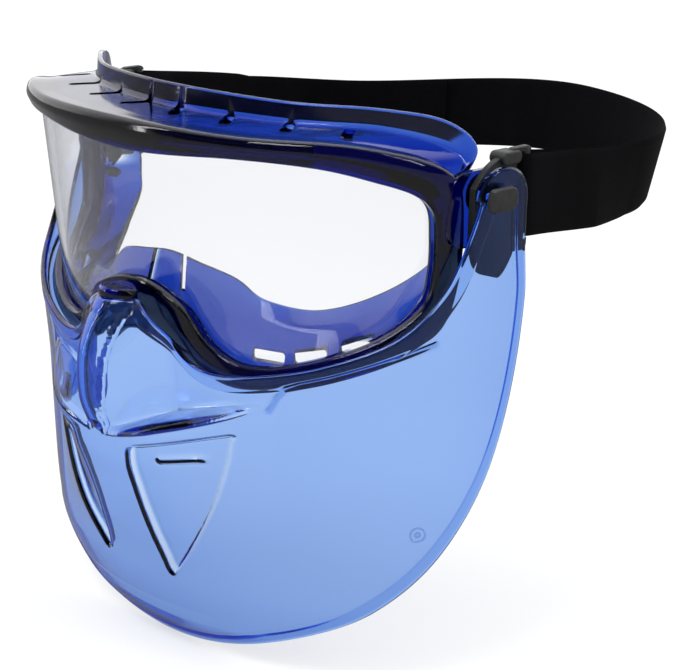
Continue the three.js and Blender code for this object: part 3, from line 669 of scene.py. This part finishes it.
def face_shield(half_columns=280, rows=240):
    even = np.abs(np.arange(-half_columns, half_columns + 1)) / half_columns
    s = even * (0.55 + 0.45 * even * even)
    side = np.sign(np.arange(-half_columns, half_columns + 1))
    top_angle, top_z = shield_top_edge(s)
    free_angle, free_z = shield_free_edge(s)
    v = (np.arange(rows + 1) / rows)[None, :]
    degrees = (side * top_angle)[:, None] * (1 - v) + (side * free_angle)[:, None] * v
    z = top_z[:, None] * (1 - v) + free_z[:, None] * v
    base, normal = shield_surface(degrees, z), shield_normal(degrees, z)
    from_edge = edge_distance(base)
    pressed = pressed_relief(degrees, z)
    border = 0.4 * (1 - smooth_step((from_edge - BORDER_WIDTH) / 0.9))
    rounding = 0.55 * (1 - smooth_step(from_edge / 0.9))
    rib = 0.8 * np.exp(-((distance_to_path(flat_mm(degrees, z), STOP_RIB) / 0.8) ** 2))
    outer = base + normal * (pressed + border - rounding)[..., None]
    inner = base + normal * (pressed - SHIELD_THICKNESS - rib + rounding)[..., None]
    shield = new_object("face_shield_shell", np.stack([outer, inner]), sheet_faces(len(s), rows + 1))
    keyhole = keyhole_cutter()
    combine(shield, joined([keyhole, mirrored(keyhole)]), "DIFFERENCE")
    return shield


def nose_hook(half_width=6.9, reach_front=7.2, reach_back=2.9, height=1.9, sides=48, levels=10):
    """Rounded cap on top of the nose ridge, which hooks over the bridge of the goggle."""
    rings = []
    for level in range(levels + 1):
        turn = math.pi * level / levels - math.pi / 2
        spread = 1 - 0.16 * (1 - math.cos(turn))
        ring = []
        for round_turn in np.arange(sides) * 2 * math.pi / sides:
            x = half_width * spread * math.cos(round_turn)
            ahead = math.sin(round_turn)
            y = -67.2 - spread * ahead * (reach_front if ahead > 0 else reach_back)
            ring.append((x, y, -35.6 + height * math.sin(turn) - 0.02 * x * x))
        rings.append(ring)
    return new_object("nose_hook", np.array(rings), sweep_faces(levels + 1, sides, False))


def ring_on_shield(name, degrees, z, radius, thickness):
    """Small moulded ring standing on the outside of the shield."""
    at = shield_surface(np.array(degrees), np.array(z))
    normal = shield_normal(np.array(degrees), np.array(z))
    up = unit(np.array([0, 0, 1]) - normal * normal[2])
    across = np.cross(up, normal)
    rings = []
    for turn in np.arange(48) * 2 * math.pi / 48:
        out = across * math.cos(turn) + up * math.sin(turn)
        rings.append([
            at + out * (radius + thickness * math.cos(tilt)) + normal * thickness * math.sin(tilt)
            for tilt in np.arange(10) * 2 * math.pi / 10
        ])
    return new_object(name, np.array(rings), sweep_faces(48, 10, True))


# ------------------------------------------------------------------ hinge hardware
def pivot_knob():
    """T-headed pin: a chunky head with broad chamfers, on a round shaft."""
    head = plate("knob", rounded_rectangle(-10.4, 1.2, -2.6, 4.6, 2.2, 3), *PIN_HEAD, edge=0.9)
    shaft = bar_along_x(PIN_RADIUS, PIN_TIP_X, PIN_HEAD[0] + 1.2)
    return combine(head, shaft, "UNION")


def strap_clip():
    """Plate behind the shield's ear, thumb block on top and slotted end that the webbing goes round."""
    outline = path_outline((-8.5, 3), [
        [(-8.5, -12)], [(-8.5, -21), (-3, -23.5)], [(3.5, -25.5)], [(6, -25.5), (10, -19)],
        [(10, 11.5)], [(-1, 13), (-8.4, 3.2)],
    ])
    body = plate("clip", outline, *CLIP, edge=0.35)
    block_outline = rounded_rectangle(2.4, 11.4, 8.8, 12.8, 1.9)
    block = plate("block", block_outline, CLIP[0] - 2.4, CLIP[1] + 1.3, edge=0.8)
    rear = plate("rear", rounded_rectangle(8, STRAP_BAR_Y + 2, -18.5, 13.4, 1.4), *CLIP, edge=0.35)
    slot_outline = rounded_rectangle(10.4, STRAP_BAR_Y + 5, -15, 11.9, 1)
    slot = plate("slot", slot_outline, CLIP[0] - OVERCUT, CLIP[1] + OVERCUT)
    turns = np.arange(24) * 2 * math.pi / 24
    middle = (CLIP[0] + CLIP[1]) / 2
    circle = [
        (middle + STRAP_BAR_RADIUS * math.cos(t), STRAP_BAR_Y + STRAP_BAR_RADIUS * math.sin(t))
        for t in turns
    ]
    ends = (STRAP_SIDE_Z - STRAP_BAR_HALF_LENGTH, STRAP_SIDE_Z + STRAP_BAR_HALF_LENGTH)
    bar_rings = [[(x, y, z) for x, y in circle] for z in ends]
    bar = new_object("bar", np.array(bar_rings), sweep_faces(2, 24, False))
    combine(body, block, "UNION")
    combine(body, rear, "UNION")
    combine(body, slot, "DIFFERENCE")
    combine(body, bar, "UNION")
    hole = bar_along_x(PIN_HOLE_RADIUS, CLIP[0] - OVERCUT, CLIP[1] + OVERCUT)
    return combine(body, hole, "DIFFERENCE")


# ------------------------------------------------------------------ headband
BAR_X = (CLIP[0] + CLIP[1]) / 2
WRAP_RADIUS = STRAP_BAR_RADIUS + STRAP_LAYER_GAP + STRAP_THICKNESS / 2


def place_round_head(x, y):
    """Place of a spot round the head: 0 at the left bar, 1 to 2 behind the head, 3 at the right bar."""
    behind = y - STRAP_STRAIGHT_END_Y
    if behind > 0:
        return 1 + math.atan2(behind / STRAP_BACK_DEPTH, x / STRAP_HALF_WIDTH) / math.pi
    beside = min(max((y - STRAP_BAR_Y) / (STRAP_STRAIGHT_END_Y - STRAP_BAR_Y), 0), 1)
    return beside if x > 0 else 3 - beside


def back_spot(turn):
    return (STRAP_HALF_WIDTH * math.cos(turn), STRAP_STRAIGHT_END_Y + STRAP_BACK_DEPTH * math.sin(turn))


def inner_offset(y, at_bar):
    closed = STRAP_THICKNESS + STRAP_LAYER_GAP
    return closed + (at_bar - closed) * (1 - float(smooth_step((y - STRAP_BAR_Y) / 22)))


def inner_layer(side, end_y, back_turn):
    inset = STRAP_HALF_WIDTH - BAR_X + WRAP_RADIUS
    spots = [(side * (STRAP_HALF_WIDTH - inner_offset(y, inset)), y) for y in (22, 26, 32, 38, end_y)]
    for k in range(1, 15 if back_turn else 1):
        x, y = back_spot(k / 14 * back_turn)
        shrink = 1 - inner_offset(y, inset) / STRAP_HALF_WIDTH
        spots.append((side * x * shrink, STRAP_STRAIGHT_END_Y + (y - STRAP_STRAIGHT_END_Y) * shrink))
    return spots


def wrap_spots(side):
    turns = [k / 8 * math.pi for k in range(9)]
    return [
        (side * (BAR_X + WRAP_RADIUS * math.cos(t)), STRAP_BAR_Y - WRAP_RADIUS * math.sin(t))
        for t in turns
    ]


def headband_path():
    beside = [(STRAP_HALF_WIDTH, y) for y in (26, 40, 60)]
    return [
        *reversed(inner_layer(1, 48, 0)), *reversed(wrap_spots(1)), *beside,
        *[back_spot(k / 48 * math.pi) for k in range(49)],
        *[(-x, y) for x, y in reversed(beside)], *wrap_spots(-1),
        *inner_layer(-1, STRAP_STRAIGHT_END_Y, math.radians(66)),
    ]


def headband(pitch=0.55, across_points=19):
    """Elastic webbing: raised ribs across it and a thicker woven edge."""
    dense = centripetal_curve(headband_path(), 12)
    length = np.linalg.norm(np.diff(dense, axis=0), axis=1).sum()
    count = int(length / pitch)
    spots = even_points(dense, np.arange(count + 1) / count)
    sideways = unit(np.gradient(spots, axis=0))[:, ::-1] * np.array([1, -1])
    u = np.linspace(-1, 1, across_points)
    profile = (1 - np.abs(u) ** 14) ** 0.5 * (0.93 + 0.07 * np.exp(-(((np.abs(u) - 0.9) / 0.06) ** 2)))
    rib = 0.045 * np.cos(np.arange(count + 1) * math.pi)
    rings = []
    for k, (x, y) in enumerate(spots):
        half = (STRAP_THICKNESS / 2 + rib[k]) * profile
        place = place_round_head(x, y)
        z = value_at(place, STRAP_HEIGHT) + u * STRAP_WIDTH / 2
        inwards = value_at(place, STRAP_LEAN) * (1 - u) / 2
        aside, behind = sideways[k]
        front = np.stack([x + aside * (half - inwards), y + behind * (half - inwards), z], axis=1)
        back = np.stack([x - aside * (half + inwards), y - behind * (half + inwards), z], axis=1)
        rings.append(np.concatenate([front, back[-2:0:-1]]))
    size = len(rings[0])
    return new_object("headband_webbing", np.array(rings), sweep_faces(count + 1, size, False))


# ------------------------------------------------------------------ materials
class Nodes:
    """Short hand for building one material's nodes."""

    def __init__(self, name):
        self.material = bpy.data.materials.new(name)
        self.material.use_nodes = True
        self.tree = self.material.node_tree
        self.shader = self.tree.nodes["Principled BSDF"]
        self.output = self.tree.nodes["Material Output"]
        self.place = self.add("ShaderNodeTexCoord").outputs["Object"]

    def add(self, kind, **inputs):
        node = self.tree.nodes.new(kind)
        for key, value in inputs.items():
            self.set(node, key.replace("_", " "), value)
        return node

    def set(self, node, key, value):
        if isinstance(value, bpy.types.NodeSocket):
            self.tree.links.new(value, node.inputs[key])
        else:
            node.inputs[key].default_value = value

    def finish(self, **inputs):
        for key, value in inputs.items():
            self.set(self.shader, key.replace("_", " "), value)
        return self.material

    def noise(self, scale, detail=3, roughness=0.5, stretch=(1, 1, 1)):
        mapping = self.add("ShaderNodeMapping", Vector=self.place, Scale=stretch)
        return self.add(
            "ShaderNodeTexNoise", Vector=mapping.outputs["Vector"], Scale=scale, Detail=detail,
            Roughness=roughness,
        ).outputs["Fac"]

    def ranged(self, value, low, high, from_low=0.3, from_high=0.7):
        node = self.add("ShaderNodeMapRange")
        limits = {"From Min": from_low, "From Max": from_high, "To Min": low, "To Max": high}
        for key, number in limits.items():
            node.inputs[key].default_value = number
        self.tree.links.new(value, node.inputs["Value"])
        return node.outputs["Result"]

    def bump(self, height, distance, strength=1.0):
        node = self.add("ShaderNodeBump", Height=height, Distance=distance, Strength=strength)
        return node.outputs["Normal"]


def absorption(red, green, blue):
    """Colour and density of a volume that absorbs these amounts of light, in 1/m."""
    density = max(red, green, blue) * 1.02
    return (1 - red / density, 1 - green / density, 1 - blue / density, 1), density


def clear_plastic(name, absorbs, smooth, rough, ripple_scale, ripple):
    """Moulded transparent plastic: light is absorbed inside it, so thick places and edges are deeper."""
    nodes = Nodes(name)
    smudge = nodes.noise(55, 4, 0.6)
    waves = nodes.bump(nodes.noise(ripple_scale, 2), ripple)
    color, density = absorption(*absorbs)
    volume = nodes.add("ShaderNodeVolumeAbsorption", Color=color, Density=density)
    nodes.tree.links.new(volume.outputs["Volume"], nodes.output.inputs["Volume"])
    return nodes.finish(
        Base_Color=(1, 1, 1, 1), Transmission_Weight=1.0, IOR=1.55, Normal=waves,
        Roughness=nodes.ranged(smudge, smooth, rough),
    )


def shield_plastic():
    return clear_plastic("shield_plastic", (760, 480, 110), 0.015, 0.05, 28, 0.00012)


def frame_vinyl():
    return clear_plastic("soft_vinyl", (1850, 1280, 370), 0.04, 0.1, 70, 0.0001)


def lens_plastic():
    return clear_plastic("lens_plastic", (62, 58, 46), 0.01, 0.025, 20, 0.00003)


def moulded_black(name, base, gloss):
    """Moulded near-black plastic with a fine grain, paler at its convex edges."""
    nodes = Nodes(name)
    grain = nodes.noise(2600, 2)
    # Paler tone laid on the convex edges, found from pointiness.
    pale_edges = nodes.ranged(nodes.add("ShaderNodeNewGeometry").outputs["Pointiness"], 0, 1, 0.52, 0.62)
    patch = nodes.ranged(nodes.noise(260, 4, 0.65), 0.7, 1.3)
    tone = nodes.add("ShaderNodeMix")
    tone.data_type = "RGBA"
    tone.inputs["A"].default_value = (*base, 1)
    tone.inputs["B"].default_value = (*[c * 2.6 + 0.01 for c in base], 1)
    nodes.tree.links.new(pale_edges, tone.inputs["Factor"])
    dull = nodes.add("ShaderNodeVectorMath", Vector=tone.outputs["Result"])
    dull.operation = "SCALE"
    nodes.tree.links.new(patch, dull.inputs["Scale"])
    return nodes.finish(
        Base_Color=dull.outputs["Vector"], Normal=nodes.bump(grain, 0.00003),
        Roughness=nodes.ranged(nodes.noise(400), gloss, gloss + 0.16),
    )


def webbing_black():
    """Black elastic webbing: fine woven bump, paler grey where the weave stands high, and a soft sheen."""
    nodes = Nodes("webbing_weave")
    weave = nodes.noise(2300, 2, 0.6, (1, 1, 1.6))
    broad = nodes.noise(90, 3, 0.6, (1, 1, 0.25))
    # Paler grey where the weave noise is high, the same noise that raises the bump, patchy along the band.
    tone = nodes.add("ShaderNodeMix")
    tone.data_type = "RGBA"
    tone.inputs["A"].default_value = (0.0006, 0.0006, 0.001, 1)
    tone.inputs["B"].default_value = (0.003, 0.0031, 0.0042, 1)
    mixed = nodes.add("ShaderNodeMath")
    mixed.operation = "MULTIPLY"
    nodes.tree.links.new(nodes.ranged(weave, 0, 1), mixed.inputs[0])
    nodes.tree.links.new(nodes.ranged(broad, 0.4, 1), mixed.inputs[1])
    nodes.tree.links.new(mixed.outputs["Value"], tone.inputs["Factor"])
    return nodes.finish(
        Base_Color=tone.outputs["Result"], Roughness=0.9, Sheen_Weight=0.012, Sheen_Roughness=0.5,
        Specular_IOR_Level=0.06, Normal=nodes.bump(weave, 0.00012, 0.8),
    )


def mirrored_rays(tree):
    """1 for rays that a surface has just mirrored, 0 for all others."""
    light_path = tree.nodes.new("ShaderNodeLightPath")
    node = tree.nodes.new("ShaderNodeMath")
    node.operation = "SUBTRACT"
    node.use_clamp = True
    tree.links.new(light_path.outputs["Is Glossy Ray"], node.inputs[0])
    tree.links.new(light_path.outputs["Is Transmission Ray"], node.inputs[1])
    return node.outputs["Value"]


def floor_paint():
    """Pale floor, part lit and part glowing so that shadows stay soft; mirrors see it darker."""
    nodes = Nodes("floor_paint")
    seen = nodes.ranged(mirrored_rays(nodes.tree), 1, FLOOR_IN_MIRRORS, 0, 1)
    tint = nodes.ranged(nodes.noise(3), 0.5, 0.53)
    paint = nodes.add("ShaderNodeCombineColor", Red=tint, Green=tint, Blue=tint).outputs["Color"]
    dimmed = nodes.add("ShaderNodeVectorMath", Vector=paint)
    dimmed.operation = "SCALE"
    nodes.set(dimmed, "Scale", seen)
    glow = nodes.ranged(seen, 0, 0.48, 0, 1)
    return nodes.finish(
        Base_Color=dimmed.outputs["Vector"], Roughness=0.9, Specular_IOR_Level=0.0,
        Emission_Color=(1, 1, 1, 1), Emission_Strength=glow,
    )


# ------------------------------------------------------------------ the assembled object
def build_goggle(vinyl, lens_look, black):
    place(goggle_frame(), "goggle", vinyl, "frame_vinyl", ("goggle_frame",))
    place(lens_sheet(), "goggle", lens_look, "lens_clear", ("lens",))
    knob = pivot_knob()
    place(mirrored(knob, "pivot_knob_right"), "goggle", black, "clip_black", ("pivot_pin_right",))
    knob.name = "pivot_knob_left"
    place(knob, "goggle", black, "clip_black", ("pivot_pin_left",))
    finish_cad_node("upper_vent_baffle", vinyl)
    for node in ("pivot_retainer_left", "pivot_retainer_right"):
        finish_cad_node(node, black)


def finish_cad_node(node, material):
    """Material and softened edges for a CAD piece that is shown as it is."""
    obj = frame["nodes"][node]
    obj.data.materials.clear()
    obj.data.materials.append(material)
    bevel = obj.modifiers.new("soft_edges", "BEVEL")
    bevel.width = 0.25 * MM
    bevel.segments = 2
    smooth_shade(obj)


def build_shield(plastic):
    shell = face_shield()
    place(shell, "shield", plastic, "shield_blue", ("face_shield",), 75)
    place(nose_hook(), "shield", plastic, "shield_blue", (), 60)
    place(ring_on_shield("mould_ring", 62.1, -102.6, 2.3, 0.28), "shield", plastic, "shield_blue")
    place(ring_on_shield("mould_ring_core", 62.1, -102.6, 0.7, 0.3), "shield", plastic, "shield_blue")


def build_strap(black, webbing):
    clip = strap_clip()
    right_clip = mirrored(clip, "strap_clip_moulded_right")
    place(right_clip, "strap", black, "clip_black", ("strap_clip_right",))
    clip.name = "strap_clip_moulded_left"
    place(clip, "strap", black, "clip_black", ("strap_clip_left",))
    place(headband(), "strap", webbing, "webbing_black", ("headband",), 60)


# ------------------------------------------------------------------ stage, light and camera
FLOOR_IN_MIRRORS = 0.3
FLOOR_DROP = 0.0004
CAMERA_AZIMUTH = 43
CAMERA_ELEVATION = 16.8
CAMERA_ROLL = 2.0
CAMERA_DISTANCE = 650
CAMERA_AIM = (23.1, -59.9)
CAMERA_LENS = 104.6


def camera_axes():
    azimuth, elevation = math.radians(CAMERA_AZIMUTH), math.radians(CAMERA_ELEVATION)
    right = Vector((math.cos(azimuth), math.sin(azimuth), 0))
    back = Vector((math.sin(azimuth) * math.cos(elevation), -math.cos(azimuth) * math.cos(elevation),
                   math.sin(elevation)))
    return right, back.cross(right), back


def make_camera():
    right, up, back = camera_axes()
    roll = math.radians(CAMERA_ROLL)
    place_mm = right * CAMERA_AIM[0] + up * CAMERA_AIM[1] + back * CAMERA_DISTANCE
    data = bpy.data.cameras.new("camera")
    data.lens, data.sensor_width, data.clip_start = CAMERA_LENS, 36, 0.01
    camera = bpy.data.objects.new("camera", data)
    rolled_right = right * math.cos(roll) + up * math.sin(roll)
    rolled_up = up * math.cos(roll) - right * math.sin(roll)
    turned = Matrix((rolled_right, rolled_up, back)).transposed().to_4x4()
    camera.matrix_world = Matrix.Translation(HINGE + place_mm * MM) @ turned
    bpy.context.scene.collection.objects.link(camera)
    bpy.context.scene.camera = camera


def make_world():
    """White all round, except that glossy reflections from the camera's side see a dark studio."""
    world = bpy.data.worlds.new("studio")
    world.use_nodes = True
    tree = world.node_tree
    background = tree.nodes["Background"]
    _, _, back = camera_axes()
    towards = tree.nodes.new("ShaderNodeVectorMath")
    towards.operation = "DOT_PRODUCT"
    towards.inputs[1].default_value = Vector((back.x, back.y, -0.1)).normalized()
    tree.links.new(tree.nodes.new("ShaderNodeTexCoord").outputs["Generated"], towards.inputs[0])
    ramp = tree.nodes.new("ShaderNodeValToRGB")
    ramp.color_ramp.interpolation = "EASE"
    bright, dark = ramp.color_ramp.elements
    bright.position, bright.color = 0.3, (1.5, 1.5, 1.55, 1)
    dark.position, dark.color = 0.58, (0.03, 0.03, 0.035, 1)
    half = tree.nodes.new("ShaderNodeMath")
    half.operation = "MULTIPLY_ADD"
    half.inputs[1].default_value, half.inputs[2].default_value = 0.5, 0.5
    tree.links.new(towards.outputs["Value"], half.inputs[0])
    tree.links.new(half.outputs["Value"], ramp.inputs["Fac"])
    choose = tree.nodes.new("ShaderNodeMix")
    choose.data_type = "RGBA"
    choose.inputs["A"].default_value = (1.06, 1.06, 1.06, 1)
    tree.links.new(mirrored_rays(tree), choose.inputs["Factor"])
    tree.links.new(ramp.outputs["Color"], choose.inputs["B"])
    tree.links.new(choose.outputs["Result"], background.inputs["Color"])
    bpy.context.scene.world = world


def softbox(name, azimuth, elevation, distance, size, power):
    """Area light aimed at the object from a direction, in the same angles as the camera's."""
    a, e = math.radians(azimuth), math.radians(elevation)
    back = Vector((math.sin(a) * math.cos(e), -math.cos(a) * math.cos(e), math.sin(e)))
    data = bpy.data.lights.new(name, "AREA")
    data.shape, data.size, data.size_y, data.energy = "RECTANGLE", size[0], size[1], power
    light = bpy.data.objects.new(name, data)
    centre = HINGE + Vector((0, 0, -0.05))
    aim = back.to_track_quat("Z", "Y").to_matrix().to_4x4()
    light.matrix_world = Matrix.Translation(centre + back * distance) @ aim
    bpy.context.scene.collection.objects.link(light)


def make_stage():
    floor = bpy.data.objects.new("floor", bpy.data.meshes.new("floor"))
    reach = 6.0
    corners = [(-reach, -reach, 0), (reach, -reach, 0), (reach, reach, 0), (-reach, reach, 0)]
    floor.data.from_pydata(corners, [], [(0, 1, 2, 3)])
    floor.data.materials.append(floor_paint())
    bpy.context.scene.collection.objects.link(floor)
    floor.location.z = -FLOOR_DROP
    softbox("key", 15, 55, 0.9, (0.35, 0.35), 2.2)
    softbox("strip_left", -35, 20, 0.8, (0.05, 0.6), 0.8)
    softbox("strip_right", 100, 30, 0.8, (0.06, 0.6), 0.8)


def set_view():
    scene = bpy.context.scene
    scene.view_settings.view_transform = "Standard"
    scene.view_settings.look = "None"
    scene.cycles.max_bounces = 32
    scene.cycles.transmission_bounces = 28
    scene.cycles.transparent_max_bounces = 16
    scene.cycles.sample_clamp_indirect = 6


vinyl = frame_vinyl()
black = moulded_black("moulded_black", (0.006, 0.0065, 0.006), 0.45)
build_goggle(vinyl, lens_plastic(), black)
build_shield(shield_plastic())
build_strap(black, webbing_black())
make_stage()
make_world()
make_camera()
set_view()
